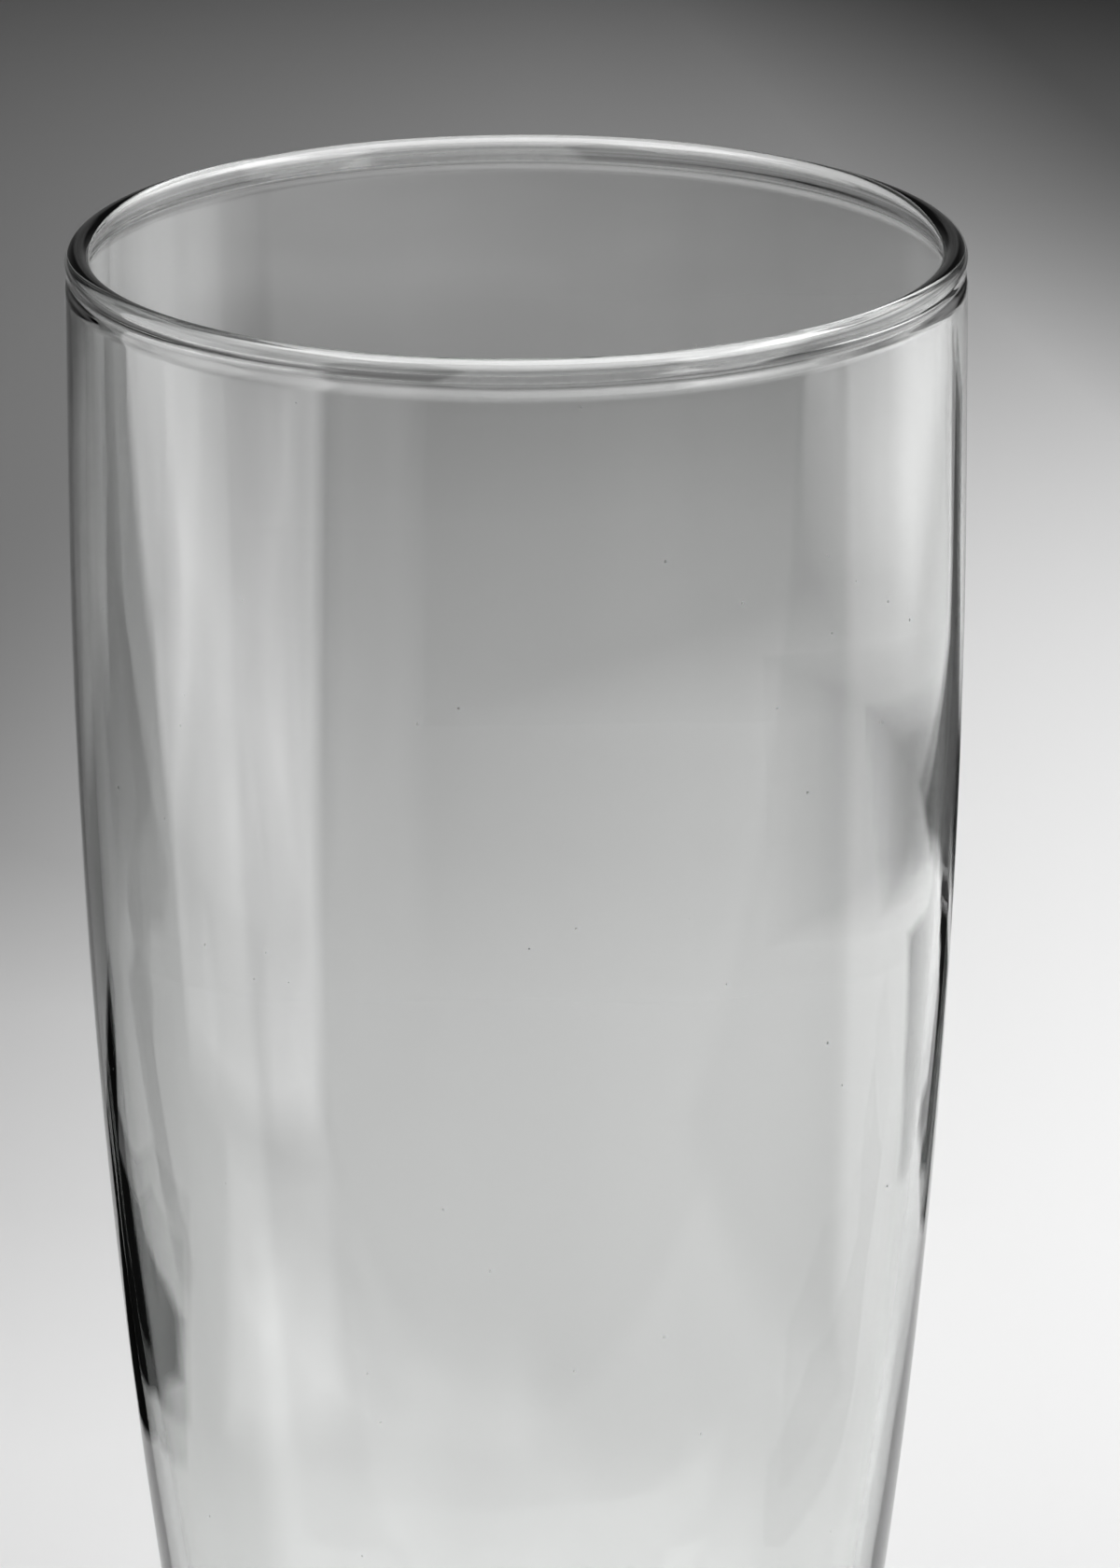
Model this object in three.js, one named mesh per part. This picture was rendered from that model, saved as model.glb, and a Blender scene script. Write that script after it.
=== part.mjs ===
// A tall drinking glass: one piece of clear glass, round about the Z axis, in millimetres.
// The origin is the centre of the standing ring, on the surface that the glass stands on.
import * as THREE from 'three';

// Driving dimensions
const HEIGHT = 150; // from the table to the crest of the rim
const RIM_DIAMETER = 76; // outside of the upright wall below the rim
const FOOT_DIAMETER = 53; // outside of the wall carried down to the table, before the heel rounds it off
const STRAIGHT_DEPTH = 22; // upright stretch of the wall, measured down from the crest
const WALL_AT_RIM = 1.5; // wall thickness just below the rim
const WALL_AT_FLOOR = 3; // wall thickness at the level of the inside floor
const BEAD_SWELL = 0.6; // how far the fire-polished bead of the rim stands proud of the wall inside
const INNER_NECK_RADIUS = 2; // hollow that leads the bead into the inside of the wall
const OUTER_NECK_DEPTH = 0.2; // shallow groove round the outside, below the bead
const OUTER_NECK_RADIUS = 2; // hollow of that groove
const SHOULDER_RADIUS = 3; // swell that leads the groove into the outside of the wall
const BASE_THICKNESS = 8; // glass at the middle of the base
const PUNT_DEPTH = 2; // shallow hollow under the base, inside the standing ring
const RING_WIDTH = 4; // flat standing ring
const HEEL_RADIUS = 5; // sweep from the standing ring to the outside of the wall
const FLOOR_CORNER_RADIUS = 12; // sweep from the inside of the wall to the inside floor

// Facets
const TURN_STEPS = 72;
const WALL_STEPS = 12;
const BEAD_STEPS = 6; // on each side of the crest
const NECK_STEPS = 4;
const CORNER_STEPS = 8;
const PUNT_STEPS = 5;

const CLEAR_GLASS = { color: 0xdfe5e3, roughness: 0.03, metalness: 0, transparent: true, opacity: 0.35 };

// Sizes that follow from the driving ones
const outerRadius = RIM_DIAMETER / 2;
const innerRadius = outerRadius - WALL_AT_RIM;
const bendHeight = HEIGHT - STRAIGHT_DEPTH;
const floorHeight = PUNT_DEPTH + BASE_THICKNESS;
const beadRadius = (WALL_AT_RIM + BEAD_SWELL) / 2;

// A circular arc of the half-section: x is the distance from the axis and y is the height.
function arcAt(x, y, radius) {
  return { centre: new THREE.Vector2(x, y), radius };
}

// Points along an arc between two directions, in radians anticlockwise from straight outwards.
function arcPoints(arc, from, to, steps) {
  const { centre, radius } = arc;
  return new THREE.EllipseCurve(centre.x, centre.y, radius, radius, from, to, to < from).getPoints(steps);
}

function direction(from, to) {
  return Math.atan2(to.y - from.y, to.x - from.x);
}

// The long arc of a wall face: it leaves the upright wall without a kink and passes through one lower point.
function wallArc(uprightRadius, through) {
  const drawIn = uprightRadius - through.x;
  const fall = bendHeight - through.y;
  const radius = (fall ** 2 + drawIn ** 2) / (2 * drawIn);
  return arcAt(uprightRadius - radius, bendHeight, radius);
}

// How far from the axis a wall arc lies at some height.
function radiusAt(arc, height) {
  return arc.centre.x + Math.sqrt(arc.radius ** 2 - (arc.centre.y - height) ** 2);
}

// The corner of a given radius that touches a wall arc from inside and lies on a level floor.
function cornerArc(wall, radius, floor) {
  const fall = wall.centre.y - floor - radius;
  const reach = Math.sqrt((wall.radius - radius) ** 2 - fall ** 2);
  return arcAt(wall.centre.x + reach, floor + radius, radius);
}

// The arc below another one that touches it and has its own centre at a given distance from the axis.
function arcBelow(arc, x, radius) {
  const fall = Math.sqrt((arc.radius + radius) ** 2 - (x - arc.centre.x) ** 2);
  return arcAt(x, arc.centre.y - fall, radius);
}

const outerWall = wallArc(outerRadius, new THREE.Vector2(FOOT_DIAMETER / 2, 0));
const innerFoot = new THREE.Vector2(radiusAt(outerWall, floorHeight) - WALL_AT_FLOOR, floorHeight);
const innerWall = wallArc(innerRadius, innerFoot);

// Underside, heel and outer wall, from the axis up to the end of the long arc.
function outsidePoints() {
  const heel = cornerArc(outerWall, HEEL_RADIUS, 0);
  const heelTop = direction(outerWall.centre, heel.centre);
  const puntEdge = new THREE.Vector2(heel.centre.x - RING_WIDTH, 0);
  const puntRadius = (puntEdge.x ** 2 + PUNT_DEPTH ** 2) / (2 * PUNT_DEPTH);
  const punt = arcAt(0, PUNT_DEPTH - puntRadius, puntRadius);
  return [
    new THREE.Vector2(0, PUNT_DEPTH),
    ...arcPoints(punt, Math.PI / 2, direction(punt.centre, puntEdge), PUNT_STEPS).slice(1),
    ...arcPoints(heel, -Math.PI / 2, heelTop, CORNER_STEPS),
    ...arcPoints(outerWall, heelTop, 0, WALL_STEPS).slice(1),
  ];
}

// Rim: shoulder and groove outside, then over the bead and down its neck inside.
function rimPoints() {
  const bead = arcAt(outerRadius - beadRadius, HEIGHT - beadRadius, beadRadius);
  const grooveX = outerRadius - OUTER_NECK_DEPTH + OUTER_NECK_RADIUS;
  const groove = arcBelow(bead, grooveX, OUTER_NECK_RADIUS);
  const shoulder = arcBelow(groove, outerRadius - SHOULDER_RADIUS, SHOULDER_RADIUS);
  const neck = arcBelow(bead, innerRadius - INNER_NECK_RADIUS, INNER_NECK_RADIUS);
  const shoulderTop = direction(shoulder.centre, groove.centre);
  const grooveTop = direction(bead.centre, groove.centre);
  const neckTop = direction(neck.centre, bead.centre);
  const crest = Math.PI / 2;
  return [
    ...arcPoints(shoulder, 0, shoulderTop, NECK_STEPS),
    ...arcPoints(groove, shoulderTop + Math.PI, grooveTop + Math.PI, NECK_STEPS).slice(1),
    ...arcPoints(bead, grooveTop, crest, BEAD_STEPS).slice(1),
    ...arcPoints(bead, crest, neckTop + Math.PI, BEAD_STEPS).slice(1),
    ...arcPoints(neck, neckTop, 0, NECK_STEPS).slice(1),
  ];
}

// Inner wall, floor corner and floor, from the upright wall down to the axis.
function insidePoints() {
  const corner = cornerArc(innerWall, FLOOR_CORNER_RADIUS, floorHeight);
  const cornerTop = direction(innerWall.centre, corner.centre);
  return [
    ...arcPoints(innerWall, 0, cornerTop, WALL_STEPS),
    ...arcPoints(corner, cornerTop, -Math.PI / 2, CORNER_STEPS).slice(1),
    new THREE.Vector2(0, floorHeight),
  ];
}

function makeTumbler() {
  const halfSection = [...outsidePoints(), ...rimPoints(), ...insidePoints()];
  const tumbler = new THREE.Mesh(
    new THREE.LatheGeometry(halfSection, TURN_STEPS),
    new THREE.MeshStandardMaterial(CLEAR_GLASS),
  );
  tumbler.name = 'tumbler';
  tumbler.rotation.x = Math.PI / 2; // from the lathe's upright Y axis to Z
  return tumbler;
}

const drinkingGlass = new THREE.Group();
drinkingGlass.add(makeTumbler());

export default drinkingGlass;
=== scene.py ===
# %% [markdown]
# # A tall clear drinking glass
# One piece of clear glass: an upright rim with a melted, rounded bead, a wall that draws in along one
# long curve, and a thick base with a shallow hollow under it. The CAD model gives its place and size.
# Here it gets its fine surface, its material, and a small studio to stand in. Lengths are in metres,
# except those of the studio's cards, which are easier to read in millimetres.

# %% Load the CAD frame
import math

import bpy
from mathutils import Matrix, Vector, noise


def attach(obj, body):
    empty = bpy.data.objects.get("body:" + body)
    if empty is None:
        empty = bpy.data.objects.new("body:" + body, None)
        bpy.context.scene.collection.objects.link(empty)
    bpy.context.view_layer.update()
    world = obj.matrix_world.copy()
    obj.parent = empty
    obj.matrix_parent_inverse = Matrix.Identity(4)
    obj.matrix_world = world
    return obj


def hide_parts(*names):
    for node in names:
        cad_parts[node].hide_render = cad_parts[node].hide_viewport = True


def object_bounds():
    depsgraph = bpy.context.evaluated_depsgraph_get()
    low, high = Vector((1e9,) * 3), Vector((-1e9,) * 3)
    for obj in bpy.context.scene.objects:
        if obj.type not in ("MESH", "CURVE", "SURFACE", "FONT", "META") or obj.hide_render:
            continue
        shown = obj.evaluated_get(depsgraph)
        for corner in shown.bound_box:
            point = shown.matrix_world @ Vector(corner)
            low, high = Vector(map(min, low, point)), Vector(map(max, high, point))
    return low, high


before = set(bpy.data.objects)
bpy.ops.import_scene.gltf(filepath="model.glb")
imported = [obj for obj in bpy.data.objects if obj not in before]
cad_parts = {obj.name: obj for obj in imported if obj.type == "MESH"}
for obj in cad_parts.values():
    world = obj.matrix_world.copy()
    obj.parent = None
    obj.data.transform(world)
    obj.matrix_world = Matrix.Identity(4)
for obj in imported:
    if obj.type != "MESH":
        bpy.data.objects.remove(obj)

cad_low, cad_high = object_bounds()
MM = 0.001
print("CAD box in mm:", [round(v / MM, 2) for v in (*cad_low, *cad_high)])

# %% [markdown]
# ## Camera
# The photograph looks down on the glass through a long lens, so the rim is a shallow ellipse and the
# wall hardly narrows with distance. The camera stands one metre from the middle of the rim and looks a
# little below it, so that the rim sits high in the picture and the foot falls outside it.

# %% Camera
RIM_CENTRE = Vector((0, 0, cad_high.z))
CAMERA_DISTANCE = 1.0
CAMERA_ELEVATION = math.radians(14.74)
CAMERA_PITCH = math.radians(17.35)
CAMERA_ROLL = math.radians(-0.25)
CAMERA_SIDESTEP = 3.5 * MM
SENSOR_HEIGHT_MM = 36
FOCAL_LENGTH_MM = 272.6
CLIP_START = 0.05

camera_data = bpy.data.cameras.new("camera")
camera_data.sensor_fit = "VERTICAL"
camera_data.sensor_height = SENSOR_HEIGHT_MM
camera_data.lens = FOCAL_LENGTH_MM
camera_data.clip_start = CLIP_START
camera = bpy.data.objects.new("camera", camera_data)
bpy.context.scene.collection.objects.link(camera)
camera_place = RIM_CENTRE + Vector((
    CAMERA_SIDESTEP,
    -CAMERA_DISTANCE * math.cos(CAMERA_ELEVATION),
    CAMERA_DISTANCE * math.sin(CAMERA_ELEVATION),
))
tilt = Matrix.Rotation(math.radians(90) - CAMERA_PITCH, 4, "X")
roll = Matrix.Rotation(CAMERA_ROLL, 4, "Z")
camera.matrix_world = Matrix.Translation(camera_place) @ tilt @ roll
bpy.context.scene.camera = camera
print("camera at", [round(v, 4) for v in camera_place])

# %% [markdown]
# ## The glass: drawing half of its section
# A round thing is drawn as half of its section and then turned about its axis. By hand that is one
# vertex, extruded straight where the glass is straight and spun about a centre where it is round, so
# each curve is a true arc that meets the next without a kink. The path runs from the middle of the base
# underneath, out over the standing ring, up the outside, over the bead of the rim and down the inside
# to the middle of the floor.

# %% Sizes of the glass
height = cad_high.z
rim_radius = cad_high.x
FOOT_RADIUS = 26.5 * MM
STRAIGHT_DEPTH = 22 * MM
WALL_AT_RIM = 1.5 * MM
WALL_AT_FLOOR = 3 * MM
BASE_THICKNESS = 8 * MM
PUNT_DEPTH = 2 * MM
RING_WIDTH = 4 * MM
HEEL_RADIUS = 5 * MM
FLOOR_CORNER_RADIUS = 12 * MM

bend_height = height - STRAIGHT_DEPTH
inner_radius = rim_radius - WALL_AT_RIM
floor_height = PUNT_DEPTH + BASE_THICKNESS


def wall_arc(upright_radius, through_radius, through_height):
    """Centre distance and radius of the long arc from the upright wall through a lower point."""
    draw_in = upright_radius - through_radius
    fall = bend_height - through_height
    radius = (fall ** 2 + draw_in ** 2) / (2 * draw_in)
    return upright_radius - radius, radius


def fall_between(reach, across):
    """How far one arc's centre lies below another's, from their distance and its sideways part."""
    return math.sqrt(reach ** 2 - across ** 2)


outer_x, outer_arc = wall_arc(rim_radius, FOOT_RADIUS, 0)
outside_at_floor = outer_x + math.sqrt(outer_arc ** 2 - (bend_height - floor_height) ** 2)
inner_x, inner_arc = wall_arc(inner_radius, outside_at_floor - WALL_AT_FLOOR, floor_height)
print("outer and inner wall arcs in mm:", round(outer_arc / MM, 1), round(inner_arc / MM, 1))

# %% A pen made of one vertex
bpy.ops.object.select_all(action="DESELECT")
bpy.ops.mesh.primitive_plane_add(size=MM, location=(0, 0, 0))
glass = bpy.context.object
glass.name = "glass"
bpy.ops.object.mode_set(mode="EDIT")
bpy.ops.mesh.select_all(action="SELECT")
bpy.ops.mesh.merge(type="CENTER")
pen = Vector((0, 0, PUNT_DEPTH))
bpy.ops.transform.translate(value=pen)


def draw_line(pen, x, z, steps):
    """Extrudes the pen straight to a point of the section, in equal steps, and returns that point."""
    end = Vector((x, 0, z))
    for _ in range(steps):
        bpy.ops.mesh.extrude_region_move(TRANSFORM_OT_translate={"value": (end - pen) / steps})
    return end


def draw_arc(pen, x, z, end_angle, steps):
    """Spins the pen about a centre, the shorter way, until it lies in the given direction from it."""
    centre = Vector((x, 0, z))
    start_angle = math.atan2(pen.z - z, pen.x - x)
    turn = (end_angle - start_angle + math.pi) % (2 * math.pi) - math.pi
    bpy.ops.mesh.spin(steps=steps, angle=turn, center=centre, axis=(0, 1, 0))
    return centre + (pen - centre).length * Vector((math.cos(end_angle), 0, math.sin(end_angle)))


print("the pen starts in mm at", [round(v / MM, 3) for v in pen])

# %% Underside, heel and outer wall
PUNT_STEPS = 12
RING_STEPS = 3
HEEL_STEPS = 16
WALL_STEPS = 40
heel_x = outer_x + fall_between(outer_arc - HEEL_RADIUS, bend_height - HEEL_RADIUS)
heel_top = math.atan2(HEEL_RADIUS - bend_height, heel_x - outer_x)
punt_edge = heel_x - RING_WIDTH
punt_radius = (punt_edge ** 2 + PUNT_DEPTH ** 2) / (2 * PUNT_DEPTH)
punt_end = math.acos(punt_edge / punt_radius)
pen = draw_arc(pen, 0, PUNT_DEPTH - punt_radius, punt_end, PUNT_STEPS)
pen = draw_line(pen, heel_x, 0, RING_STEPS)
pen = draw_arc(pen, heel_x, HEEL_RADIUS, heel_top, HEEL_STEPS)
pen = draw_arc(pen, outer_x, bend_height, 0, WALL_STEPS)
print("outer wall ends in mm at", [round(v / MM, 3) for v in pen])

# %% [markdown]
# ## The rim
# The cut edge of a blown glass is melted with a flame until it draws itself round. It swells into a
# bead a little thicker than the wall, with a shallow groove and a soft shoulder under it outside and a
# hollow neck inside. The bead works as a strong little lens, so the whole floor behind shows in it as
# fine lines: arcs that touch each other, in many short steps, keep those lines smooth.

# %% Rim: shoulder, groove, bead and inner neck
BEAD_SWELL = 0.6 * MM
NECK_RADIUS = 2 * MM
GROOVE_DEPTH = 0.2 * MM
SHOULDER_RADIUS = 3 * MM
UPRIGHT_STEPS = 8
SHOULDER_STEPS = 10
NECK_STEPS = 12
BEAD_STEPS = 30
bead_radius = (WALL_AT_RIM + BEAD_SWELL) / 2
bead_x = rim_radius - bead_radius
bead_z = height - bead_radius
groove_x = rim_radius - GROOVE_DEPTH + NECK_RADIUS
groove_z = bead_z - fall_between(bead_radius + NECK_RADIUS, groove_x - bead_x)
shoulder_x = rim_radius - SHOULDER_RADIUS
shoulder_z = groove_z - fall_between(NECK_RADIUS + SHOULDER_RADIUS, groove_x - shoulder_x)
neck_x = inner_radius - NECK_RADIUS
neck_z = bead_z - fall_between(bead_radius + NECK_RADIUS, neck_x - bead_x)
shoulder_top = math.atan2(groove_z - shoulder_z, groove_x - shoulder_x)
groove_top = math.atan2(groove_z - bead_z, groove_x - bead_x)
neck_top = math.atan2(bead_z - neck_z, bead_x - neck_x)
pen = draw_line(pen, rim_radius, shoulder_z, UPRIGHT_STEPS)
pen = draw_arc(pen, shoulder_x, shoulder_z, shoulder_top, SHOULDER_STEPS)
pen = draw_arc(pen, groove_x, groove_z, groove_top + math.pi, NECK_STEPS)
pen = draw_arc(pen, bead_x, bead_z, math.pi / 2, BEAD_STEPS)
pen = draw_arc(pen, bead_x, bead_z, neck_top + math.pi, BEAD_STEPS)
pen = draw_arc(pen, neck_x, neck_z, 0, NECK_STEPS)
print("bead of", round(2 * bead_radius / MM, 2), "mm; neck ends at", round(pen.z / MM, 2), "mm")

# %% Inner wall and floor
CORNER_STEPS = 20
FLOOR_STEPS = 6
corner_z = floor_height + FLOOR_CORNER_RADIUS
corner_x = inner_x + fall_between(inner_arc - FLOOR_CORNER_RADIUS, bend_height - corner_z)
corner_top = math.atan2(corner_z - bend_height, corner_x - inner_x)
pen = draw_line(pen, inner_radius, bend_height, UPRIGHT_STEPS)
pen = draw_arc(pen, inner_x, bend_height, corner_top, WALL_STEPS)
pen = draw_arc(pen, corner_x, corner_z, -math.pi / 2, CORNER_STEPS)
pen = draw_line(pen, 0, floor_height, FLOOR_STEPS)
print("section ends in mm at", [round(v / MM, 3) for v in pen])

# %% Turn the section about its axis
TURN_STEPS = 360
WELD_DISTANCE = 0.002 * MM
bpy.ops.mesh.select_all(action="SELECT")
bpy.ops.mesh.spin(steps=TURN_STEPS, angle=2 * math.pi, center=(0, 0, 0), axis=(0, 0, 1))
bpy.ops.mesh.select_all(action="SELECT")
bpy.ops.mesh.remove_doubles(threshold=WELD_DISTANCE)
bpy.ops.mesh.normals_make_consistent(inside=False)
bpy.ops.object.mode_set(mode="OBJECT")
bpy.ops.object.shade_smooth()
print("glass:", len(glass.data.vertices), "vertices,", len(glass.data.polygons), "faces")

# %% [markdown]
# ## A wall that is not quite even
# Blown glass is never perfectly even: the wall is a few hundredths of a millimetre thicker here and
# thinner there, in long swells that run up the wall. Nobody sees them as such, but they make the edge
# of every reflection waver. A smooth noise, stretched upward, moves each vertex along its normal. The
# standing ring stays flat.

# %% Let the wall swell a little
SWELL_HEIGHT = 0.05 * MM
SWELL_WIDTH = 16 * MM
SWELL_LENGTH = 55 * MM
FLAT_BELOW = 4 * MM
FULL_ABOVE = 14 * MM

largest_move = 0.0
normals = [vertex.normal.copy() for vertex in glass.data.vertices]
for vertex, normal in zip(glass.data.vertices, normals):
    share = min(max((vertex.co.z - FLAT_BELOW) / (FULL_ABOVE - FLAT_BELOW), 0), 1)
    x, y, z = vertex.co
    move = share * SWELL_HEIGHT * noise.noise((x / SWELL_WIDTH, y / SWELL_WIDTH, z / SWELL_LENGTH))
    vertex.co += normal * move
    largest_move = max(largest_move, abs(move))
print("largest move in mm:", round(largest_move / MM, 3))

# %% [markdown]
# ## Material: clear soda-lime glass
# Clear glass has no colour of its own on the surface. The eye knows it by how it bends light, by its
# mirror-like skin, and by the faint grey-green that deepens where the glass is thick. So the surface is
# a clear, bending shader, and the tint is an absorption inside the volume, which makes the thick base
# darker than the thin wall by itself. Finer than the swells are the draw lines, narrow upright streaks
# left by the mould, which the flame melted away near the rim, and a few dull specks. The glass casts no
# shadow, because light passes through it and a plain shadow would be as dark as that of a black glass.

# %% Two helpers for materials
def linear(hex_colour):
    """An sRGB hex colour as linear RGBA."""
    parts = [int(hex_colour[i:i + 2], 16) / 255 for i in (1, 3, 5)]
    return (*[c / 12.92 if c <= 0.04045 else ((c + 0.055) / 1.055) ** 2.4 for c in parts], 1)


def add_node(tree, kind, settings=None, links=None):
    """Adds a node, sets its inputs (by name or number) and properties, and links other outputs to it."""
    node = tree.nodes.new(kind)
    for name, value in (settings or {}).items():
        if isinstance(name, int) or name in node.inputs:
            node.inputs[name].default_value = value
        else:
            setattr(node, name, value)
    for name, output in (links or {}).items():
        tree.links.new(output, node.inputs[name])
    return node


print("white is", linear("#ffffff"))

# %% Draw lines and specks
STREAK_WIDTH = 2.5 * MM
STREAK_LENGTH = 70 * MM
STREAK_HEIGHT = 0.003 * MM
MELTED_DEPTH = 10 * MM
SPECK_SPACING = 6 * MM
SPECK_RADIUS = 0.12 * MM
SPECK_ROUGHNESS = 0.7

clear_glass = bpy.data.materials.new("soda_lime_glass_blown_and_fire_polished")
clear_glass.use_nodes = True
tree = clear_glass.node_tree
tree.nodes.clear()
spot = add_node(tree, "ShaderNodeTexCoord")
stretch = add_node(tree, "ShaderNodeMapping", {
    "Scale": (1 / STREAK_WIDTH, 1 / STREAK_WIDTH, 1 / STREAK_LENGTH),
}, {"Vector": spot.outputs["Object"]})
streaks = add_node(tree, "ShaderNodeTexNoise", {"Scale": 1.0, "Detail": 2.0}, {
    "Vector": stretch.outputs["Vector"],
})
level = add_node(tree, "ShaderNodeSeparateXYZ", links={"Vector": spot.outputs["Object"]})
melted = add_node(tree, "ShaderNodeMapRange", {
    "From Min": height - MELTED_DEPTH,
    "From Max": height - MELTED_DEPTH / 2,
    "To Min": 1.0,
    "To Max": 0.0,
}, {"Value": level.outputs["Z"]})
draw_lines = add_node(tree, "ShaderNodeBump", {"Distance": STREAK_HEIGHT}, {
    "Strength": melted.outputs["Result"],
    "Height": streaks.outputs["Fac"],
})
scatter = add_node(tree, "ShaderNodeTexVoronoi", {"Scale": 1 / SPECK_SPACING}, {
    "Vector": spot.outputs["Object"],
})
speck = add_node(tree, "ShaderNodeMath", {"operation": "LESS_THAN", 1: SPECK_RADIUS / SPECK_SPACING}, {
    0: scatter.outputs["Distance"],
})
dull_speck = add_node(tree, "ShaderNodeMath", {"operation": "MULTIPLY", 1: SPECK_ROUGHNESS}, {
    0: speck.outputs["Value"],
})
print("draw lines of", round(STREAK_WIDTH / MM, 1), "mm, specks of", round(SPECK_RADIUS / MM, 2), "mm")

# %% Clear glass
GLASS_IOR = 1.52
ABSORPTION_PER_METRE = 90
skin = add_node(tree, "ShaderNodeBsdfPrincipled", {
    "Base Color": linear("#ffffff"),
    "IOR": GLASS_IOR,
    "Transmission Weight": 1.0,
}, {"Normal": draw_lines.outputs["Normal"], "Roughness": dull_speck.outputs["Value"]})
tint = add_node(tree, "ShaderNodeVolumeAbsorption", {
    "Color": linear("#e4e8e5"),
    "Density": ABSORPTION_PER_METRE,
})
add_node(tree, "ShaderNodeOutputMaterial", links={
    "Surface": skin.outputs["BSDF"],
    "Volume": tint.outputs["Volume"],
})
glass.data.materials.clear()
glass.data.materials.append(clear_glass)
glass.visible_shadow = False
print("material:", clear_glass.name)

# %% [markdown]
# ## Floor and room
# A clear glass shows little but its surroundings, so the studio matters as much as the model. The floor
# is matt and pale, and lies a hair under the glass so that the two surfaces stay apart. The room is
# almost black, which draws the dark lines at both ends of the rim; only near the horizon it is a little
# lighter, and that grey shows in the lower half of the bead.

# %% Floor
FLOOR_SIZE = 8
FLOOR_DROP = 0.05 * MM
bpy.ops.object.select_all(action="DESELECT")
bpy.ops.mesh.primitive_plane_add(size=FLOOR_SIZE, location=(0, 0, -FLOOR_DROP))
floor = bpy.context.object
floor.name = "floor"
floor_paint = bpy.data.materials.new("floor_matt_pale_paint")
floor_paint.use_nodes = True
paint = floor_paint.node_tree.nodes["Principled BSDF"]
paint.inputs["Base Color"].default_value = linear("#e6e6e6")
paint.inputs["Roughness"].default_value = 0.8
paint.inputs["Specular IOR Level"].default_value = 0
floor.data.materials.append(floor_paint)
print("floor of", FLOOR_SIZE, "m made")

# %% Room
HORIZON_GLOW = 0.12
OVERHEAD_GLOW = 0.03
GLOW_FADES_BY = 0.25
world = bpy.data.worlds.new("studio")
bpy.context.scene.world = world
world.use_nodes = True
room = world.node_tree
room.nodes.clear()
direction = add_node(room, "ShaderNodeTexCoord")
rise = add_node(room, "ShaderNodeSeparateXYZ", links={"Vector": direction.outputs["Generated"]})
fade = add_node(room, "ShaderNodeMapRange", {
    "From Min": 0.0,
    "From Max": GLOW_FADES_BY,
    "To Min": HORIZON_GLOW,
    "To Max": OVERHEAD_GLOW,
}, {"Value": rise.outputs["Z"]})
wall_light = add_node(room, "ShaderNodeBackground", links={"Strength": fade.outputs["Result"]})
add_node(room, "ShaderNodeOutputWorld", links={"Surface": wall_light.outputs["Background"]})
world.cycles_visibility.diffuse = False
bpy.context.scene.view_settings.view_transform = "Standard"
print("room glows from", HORIZON_GLOW, "to", OVERHEAD_GLOW)


# %% [markdown]
# ## Softboxes for the floor
# The light on the floor is what is seen through the glass, so it is set first. Two softboxes hang
# behind the glass and two at its sides, and together they leave the floor dark at the far left and
# bright at the near right. They are hidden from the glass itself, so that it mirrors only the cards of
# the next steps.

# %% Softboxes
def softbox(name, place, target, size, radiance, spread=180):
    """A rectangular lamp that faces a point; a grid may narrow its spread, which is in degrees."""
    width, tall = size
    lamp = bpy.data.lights.new(name, "AREA")
    lamp.shape = "RECTANGLE"
    lamp.size = width
    lamp.size_y = tall
    lamp.spread = math.radians(spread)
    lamp.energy = math.pi * radiance * width * tall
    box = bpy.data.objects.new(name, lamp)
    bpy.context.scene.collection.objects.link(box)
    facing = (Vector(target) - Vector(place)).to_track_quat("-Z", "Y").to_matrix().to_4x4()
    box.matrix_world = Matrix.Translation(place) @ facing
    box.visible_camera = False
    box.visible_glossy = False
    box.visible_transmission = False
    print(name, "shines with", round(lamp.energy, 3), "W")


softbox("key_box", (0.001, 0.256, 0.40), (0.56, 0.005, 0), (0.524, 0.60), radiance=1.88, spread=96)
softbox("back_box", (0.161, 0.449, 0.40), (-0.30, -0.165, 0), (0.60, 0.60), radiance=0.92)
softbox("left_box", (-0.166, -0.036, 0.20), (0.166, -0.092, 0.20), (0.194, 0.20), radiance=1.45)
softbox("right_box", (0.405, 0.075, 0.26), (0, -0.014, 0.26), (0.381, 0.28), radiance=1.75)


# %% [markdown]
# ## Cards for the glass to mirror
# Round glass mirrors a narrow card as an upright band. Real cards glow less toward their edge, so each
# one fades out there: its face is inset, and an attribute called "amount" rises from nothing on the
# outline to a value inside each corner. A lit card adds its light to what lies behind it, so cards may
# overlap. Where they do, they stand a few millimetres apart, because of two surfaces in one plane now
# one is hit and now the other.

# %% A card with a soft edge
ON_OUTLINE = 0.1 * MM


def soft_card(name, corners, edge, amounts, cloth):
    """A flat card in millimetres, with one amount for all of it or a list with one for each corner."""
    bpy.ops.object.select_all(action="DESELECT")
    bpy.ops.mesh.primitive_circle_add(vertices=len(corners), fill_type="NGON")
    card = bpy.context.object
    card.name = name
    outline = [Vector(corner) * MM for corner in corners]
    for vertex, corner in zip(card.data.vertices, outline):
        vertex.co = corner
    bpy.ops.object.mode_set(mode="EDIT")
    bpy.ops.mesh.select_all(action="SELECT")
    bpy.ops.mesh.inset(thickness=edge * MM)
    bpy.ops.object.mode_set(mode="OBJECT")
    inside = amounts if isinstance(amounts, list) else [amounts] * len(corners)
    amount = card.data.attributes.new("amount", "FLOAT", "POINT")
    for vertex in card.data.vertices:
        distances = [(vertex.co - corner).length for corner in outline]
        nearest = distances.index(min(distances))
        amount.data[vertex.index].value = 0.0 if distances[nearest] < ON_OUTLINE else inside[nearest]
    card.data.materials.append(cloth)
    card.visible_camera = False
    card.visible_diffuse = False
    card.visible_shadow = False
    print("card:", name)
    return card


# %% Who sees a card
def only_mirrored(*cards):
    """Hides cards from rays that have passed through glass, so that they show only as reflections."""
    for card in cards:
        card.visible_transmission = False


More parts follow.
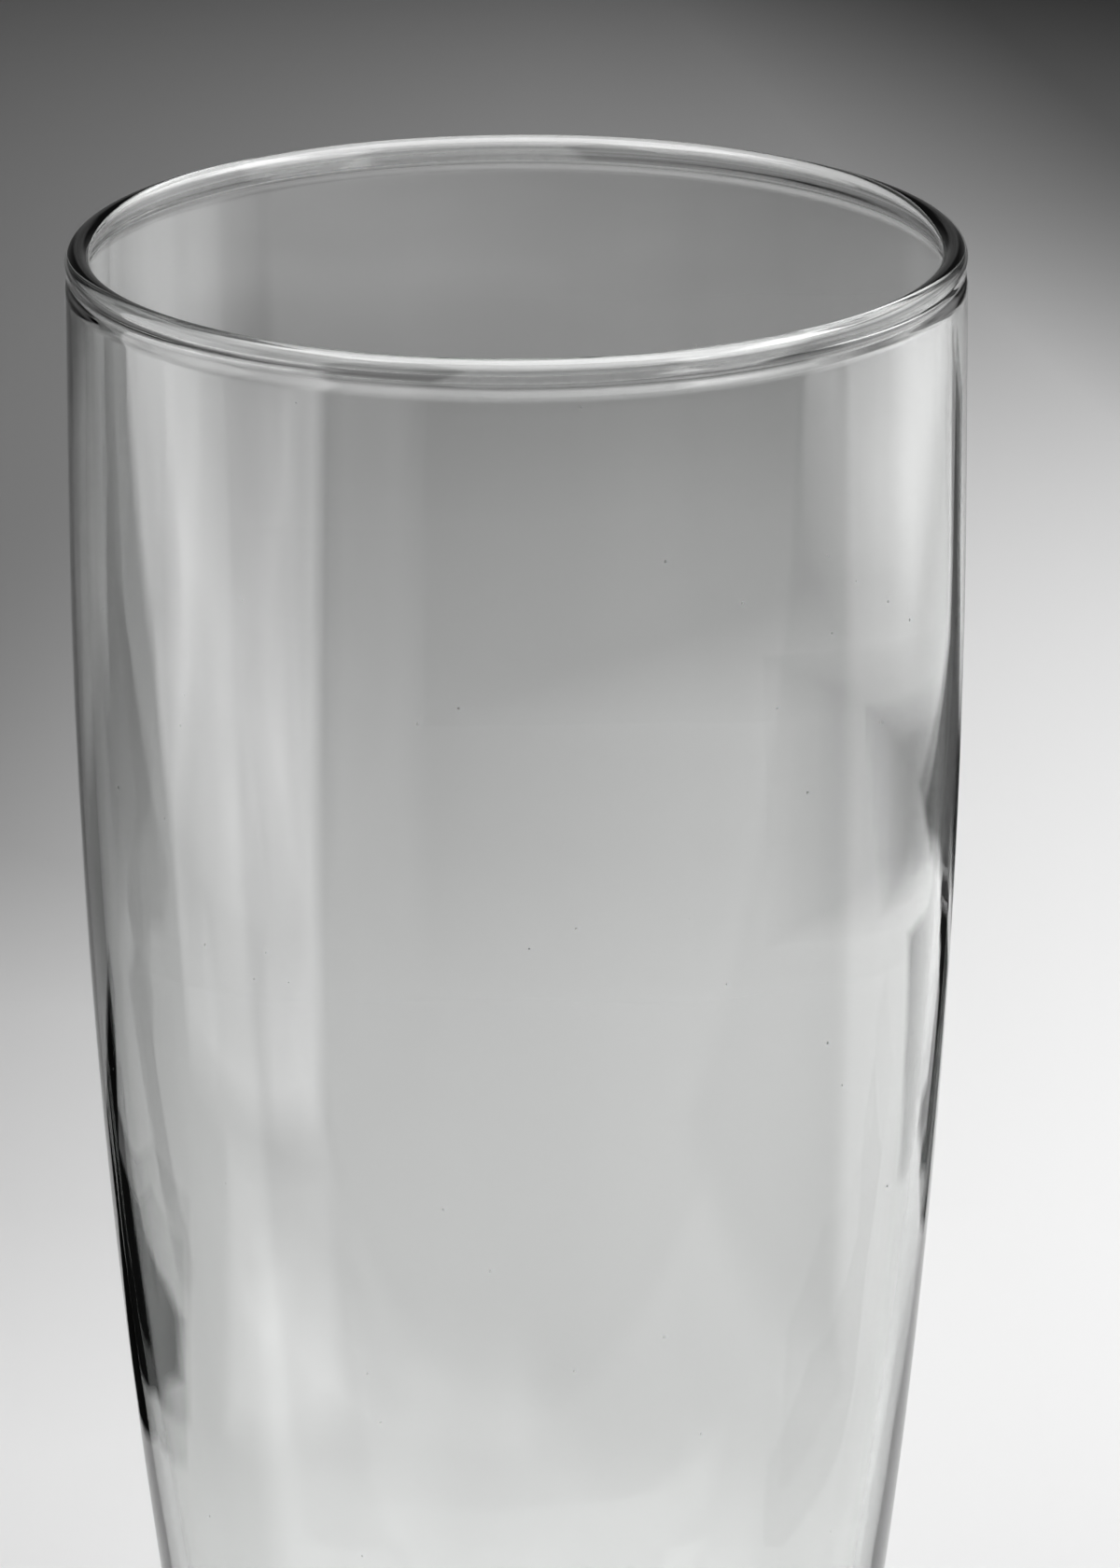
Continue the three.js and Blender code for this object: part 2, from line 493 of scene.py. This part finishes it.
def only_for_camera(*cards):
    """Shows cards straight to the camera and hides them from the glass."""
    for card in cards:
        card.visible_camera = True
        card.visible_glossy = False
        card.visible_transmission = False


# %% Lit cloth
FOLD_WIDTH = 45 * MM
FOLD_SHADE = 0.2
# The same glowing cloth fronts the softbox cards and, laid on the floor, is painted light on the floor.
lit_cloth_and_painted_light = bpy.data.materials.new("diffuser_cloth_and_painted_floor_light")
lit_cloth_and_painted_light.use_nodes = True
lit_tree = lit_cloth_and_painted_light.node_tree
lit_tree.nodes.clear()
glow = add_node(lit_tree, "ShaderNodeAttribute", {"attribute_name": "amount"})
cloth_spot = add_node(lit_tree, "ShaderNodeTexCoord")
folds = add_node(lit_tree, "ShaderNodeTexNoise", {"Scale": 1 / FOLD_WIDTH, "Detail": 3.0}, {
    "Vector": cloth_spot.outputs["Object"],
})
shading = add_node(lit_tree, "ShaderNodeMapRange", {
    "From Min": 0.3,
    "From Max": 0.7,
    "To Min": 1 - FOLD_SHADE,
    "To Max": 1 + FOLD_SHADE,
}, {"Value": folds.outputs["Fac"]})
folded_glow = add_node(lit_tree, "ShaderNodeMath", {"operation": "MULTIPLY"}, {
    0: glow.outputs["Fac"],
    1: shading.outputs["Result"],
})
light = add_node(lit_tree, "ShaderNodeEmission", links={"Strength": folded_glow.outputs["Value"]})
see_through = add_node(lit_tree, "ShaderNodeBsdfTransparent")
both = add_node(lit_tree, "ShaderNodeAddShader", links={
    0: light.outputs["Emission"],
    1: see_through.outputs["BSDF"],
})
add_node(lit_tree, "ShaderNodeOutputMaterial", links={"Surface": both.outputs["Shader"]})
lit_cloth_and_painted_light.cycles.emission_sampling = "NONE"
print("material:", lit_cloth_and_painted_light.name)


# %% Two ways to set up a card
def upright_card(name, line, outline, edge, amounts, cloth=lit_cloth_and_painted_light):
    """A card that stands on the line between two floor points; its outline is along it and up."""
    near, far = line
    along = (Vector(far) - Vector(near)).normalized()
    corners = [(near[0] + along.x * way, near[1] + along.y * way, up) for way, up in outline]
    return soft_card(name, corners, edge, amounts, cloth)


def lying_card(name, outline, lift, edge, amounts, cloth=lit_cloth_and_painted_light):
    """A card that lies level, at a height over the floor."""
    return soft_card(name, [(x, y, lift) for x, y in outline], edge, amounts, cloth)


# %% [markdown]
# ## Cards at the left
# A card close by at the left gives the broad band down the left of the wall. A smaller one in front of
# it lights the middle of the band, and a faint one behind it carries the band on toward the camera.
# One that lies on the floor is painted light on it and makes the lower end of the band, and a high
# one lights the left of the bead. They show only as reflections.

# %% Cards at the left
LEFT_LINE = ((-150, -121), (-222, 22))
LEFT_LINE_FARTHER = ((-151.8, -121.9), (-223.8, 21.1))
LEFT_LINE_NEARER = ((-148.2, -120.1), (-220.2, 22.9))

left_card = upright_card("left_card", LEFT_LINE, [
    (-7, 0), (150, 0), (160, 30), (185, 50), (255, 66), (255, 330), (-69, 330),
], edge=14, amounts=[4.0, 1.4, 2.2, 2.8, 2.2, 2.2, 3.4])
faint_card = upright_card("faint_card", LEFT_LINE_FARTHER, [
    (20, 0), (-125, 0), (-180, 330), (-30, 330),
], edge=48, amounts=1.2)
band_card = upright_card("band_card", LEFT_LINE_NEARER, [
    (0, 36), (152, 36), (152, 110), (0, 110),
], edge=30, amounts=3.6)
left_high_card = upright_card("left_high_card", LEFT_LINE, [
    (-69, 340), (255, 340), (255, 700), (-69, 700),
], edge=50, amounts=3.0)
# Painted light on the floor in front of the left card.
left_front_painted_light = lying_card("left_front_painted_light", [
    (-206, -30), (-152, -140), (-88, -92), (-118, 0),
], lift=0.55, edge=14, amounts=1.3)
only_mirrored(left_card, faint_card, band_card, left_high_card, left_front_painted_light)

# %% [markdown]
# ## Cards at the right and above
# A long card farther off at the right gives the band at the right of the wall and darkens toward its
# far end. Above it a brighter one, one overhead, one over the camera and one like a window at the front
# right all light the bead, which is the only part of the glass that faces upward in the picture.

# %% Cards at the right and above
RIGHT_LINE = ((455, -95), (252, 392))
RIGHT_LINE_FARTHER = ((457.8, -93.8), (254.8, 393.2))
WINDOW_LINE = ((690, -120), (440, -545))

right_high_card = upright_card("right_high_card", RIGHT_LINE_FARTHER, [
    (-34, 360), (528, 360), (528, 800), (-34, 800),
], edge=60, amounts=4.0)
upright_card("right_card", RIGHT_LINE, [
    (-34, 2), (290, 2), (528, 2), (528, 400), (290, 400), (-34, 400),
], edge=30, amounts=[1.2, 1.45, 0.25, 0.25, 1.45, 1.2])
soft_card("top_card", [
    (-200, -300, 700), (600, -300, 700), (600, -800, 350), (-200, -800, 350),
], edge=40, amounts=2.4, cloth=lit_cloth_and_painted_light)
overhead_card = lying_card("overhead_card", [
    (-400, 300), (700, 300), (700, -290), (-400, -290),
], lift=700, edge=60, amounts=4.0)
upright_card("window_card", WINDOW_LINE, [
    (0, 180), (493, 180), (493, 870), (0, 870),
], edge=90, amounts=3.8)
only_mirrored(right_high_card, overhead_card)

# %% [markdown]
# ## Faint glows and painted light on the floor
# The last lit cards are faint, and those that lie on the floor are painted light on it. One lies in
# front of the glass, where the lower wall mirrors it. Those on the floor behind, and a pale wall far
# back, lighten what the glass shows of the distance. One at the lower left is for the camera alone,
# because the floor of the photograph grows lighter there.

# %% Faint glows and painted light on the floor
BACK_LINE = ((-330, 1500), (340, 1500))

# The cards that lie on the floor are painted light on it.
lying_card("near_front_painted_light", [
    (-160, -30), (-150, -75), (-104, -104), (-52, -134), (0, -140),
    (90, -92), (122, -40), (60, -20), (-60, -20),
], lift=0.5, edge=18, amounts=[1.4, 1.4, 1.6, 1.0, 1.2, 0.6, 0.5, 0.5, 0.9])
lying_card("far_painted_light", [
    (-1500, 650), (1500, 650), (1500, 3900), (-1500, 3900),
], lift=0.1, edge=300, amounts=0.25)
lying_card("behind_painted_light", [
    (-140, 505), (140, 505), (180, 760), (-180, 760),
], lift=0.2, edge=50, amounts=0.07)
lying_card("left_floor_painted_light", [
    (-130, 262), (-340, 262), (-380, 470), (-170, 470),
], lift=0.2, edge=35, amounts=0.1)
upright_card("back_card", BACK_LINE, [
    (0, 0), (670, 0), (670, 760), (0, 760),
], edge=120, amounts=0.13)
# Painted light on the floor at the lower left, for the camera alone.
near_left_painted_light = lying_card("near_left_painted_light", [
    (-130, -20), (50, -20), (50, 180), (-130, 180),
], lift=0.8, edge=70, amounts=0.052)
only_for_camera(near_left_painted_light)

# %% [markdown]
# ## Black cards
# Clear glass needs dark lines to show its edges, so black velvet lies on the floor just out of sight,
# where the sides of the wall bend the view to. It gives the dark streak at the lower left, the smudge
# and the dark edge at the right, with some painted soft shadow, and, in front, the calm middle where
# the wall mirrors nothing. The same black material also makes the sheets of painted shade. Here the
# amount is how much of the cloth covers what is under it.

# %% Black velvet, which also makes painted shade
# The same dark material also makes the sheets of painted shade further on.
black_cloth_and_painted_shade = bpy.data.materials.new("black_velvet_and_painted_shade")
black_cloth_and_painted_shade.use_nodes = True
cloth_tree = black_cloth_and_painted_shade.node_tree
cloth_tree.nodes.clear()
cover = add_node(cloth_tree, "ShaderNodeAttribute", {"attribute_name": "amount"})
clear = add_node(cloth_tree, "ShaderNodeBsdfTransparent")
black = add_node(cloth_tree, "ShaderNodeBsdfDiffuse", {"Color": linear("#141414")})
soft_edge = add_node(cloth_tree, "ShaderNodeMixShader", links={
    "Fac": cover.outputs["Fac"],
    1: clear.outputs["BSDF"],
    2: black.outputs["BSDF"],
})
add_node(cloth_tree, "ShaderNodeOutputMaterial", links={"Surface": soft_edge.outputs["Shader"]})
print("material:", black_cloth_and_painted_shade.name)


# %% Velvet in front and at the left
def flag(name, outline, lift, edge, covers=1.0):
    """A black sheet that lies level just above the floor; some are cloth, some painted shade."""
    return lying_card(name, outline, lift, edge, covers, black_cloth_and_painted_shade)


front_flag = flag("front_flag", [
    (-600, -1200), (1200, -1200), (1200, -125), (-600, -125),
], lift=0.2, edge=10)
only_mirrored(front_flag)
flag("left_flag", [
    (-54, 111), (-54, 130), (-60, 139), (-84, 160), (-94, 192), (-175, 190), (-172, 165),
    (-131, 152), (-146, 112), (-168, 85), (-168, 32), (-104, 34), (-88, 76),
], lift=0.2, edge=4)

# %% Velvet at the right, and painted soft shadow
flag("right_front_flag", [(125, -150), (600, -150), (600, 20), (125, 20)], lift=0.3, edge=20)
flag("right_near_flag", [
    (78, 156), (100, 142), (128, 140), (132, 154), (126, 164), (131, 196),
    (136, 210), (162, 216), (164, 234), (130, 252), (80, 252),
], lift=0.2, edge=6)
flag("right_flag", [
    (86, 272), (112, 268), (118, 234), (190, 222), (222, 198), (264, 190), (252, 262), (236, 322),
    (262, 392), (288, 472), (196, 472), (176, 402), (148, 368), (124, 336), (86, 334),
], lift=0.2, edge=8, covers=0.9)
# Painted soft shadow on the floor behind the glass at the right, in two thin dark sheets.
flag("right_soft_painted_shadow", [(60, 262), (130, 262), (130, 350), (60, 350)], lift=0.3, edge=26, covers=0.9)
flag("right_wide_painted_shadow", [(34, 256), (140, 256), (140, 374), (34, 374)], lift=0.35, edge=28, covers=0.34)

# %% [markdown]
# ## Painted shade, and a thin sheet at the left cards
# Three thin dark sheets behind the glass are painted shade: the shadow of the glass on the floor
# that is seen through it. A small thin black sheet in front of the left cards only takes a share of
# their light and keeps the band even. Two more sheets of painted shade are for the camera alone and
# darken the far corners of the floor, as in the photograph.

# %% Painted shade, and a thin sheet at the left cards
LEFT_LINE_NEAREST = ((-146.4, -119.2), (-218.4, 23.8))

# Painted shadow of the glass on the floor behind it, in three thin dark sheets.
flag("middle_painted_shade", [(-70, 240), (90, 240), (100, 430), (-70, 430)], lift=0.45, edge=55, covers=0.07)
flag("behind_painted_shadow", [(-15, 345), (130, 345), (140, 700), (-20, 700)], lift=0.4, edge=60, covers=0.3)
flag("glass_painted_shadow", [
    (-190, 62), (190, 62), (210, 540), (-210, 540),
], lift=0.5, edge=40, covers=[0.18, 0.18, 0.02, 0.02])
band_gauze = upright_card("band_gauze", LEFT_LINE_NEAREST, [
    (40, 6), (108, 6), (108, 40), (40, 40),
], edge=14, amounts=0.38, cloth=black_cloth_and_painted_shade)
only_mirrored(band_gauze)
# Painted shade in the far corners of the floor, for the camera alone.
left_shade = flag("far_left_shade", [
    (-900, 245), (0, 245), (0, 2600), (-900, 2600),
], lift=0.6, edge=80, covers=0.28)
right_shade = flag("far_right_shade", [
    (100, 365), (600, 365), (600, 1500), (-170, 1500),
], lift=0.7, edge=42, covers=0.5)
only_for_camera(left_shade, right_shade)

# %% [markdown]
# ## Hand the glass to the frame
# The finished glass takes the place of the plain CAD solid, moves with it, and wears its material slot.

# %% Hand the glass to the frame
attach(glass, "root")
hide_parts("tumbler")
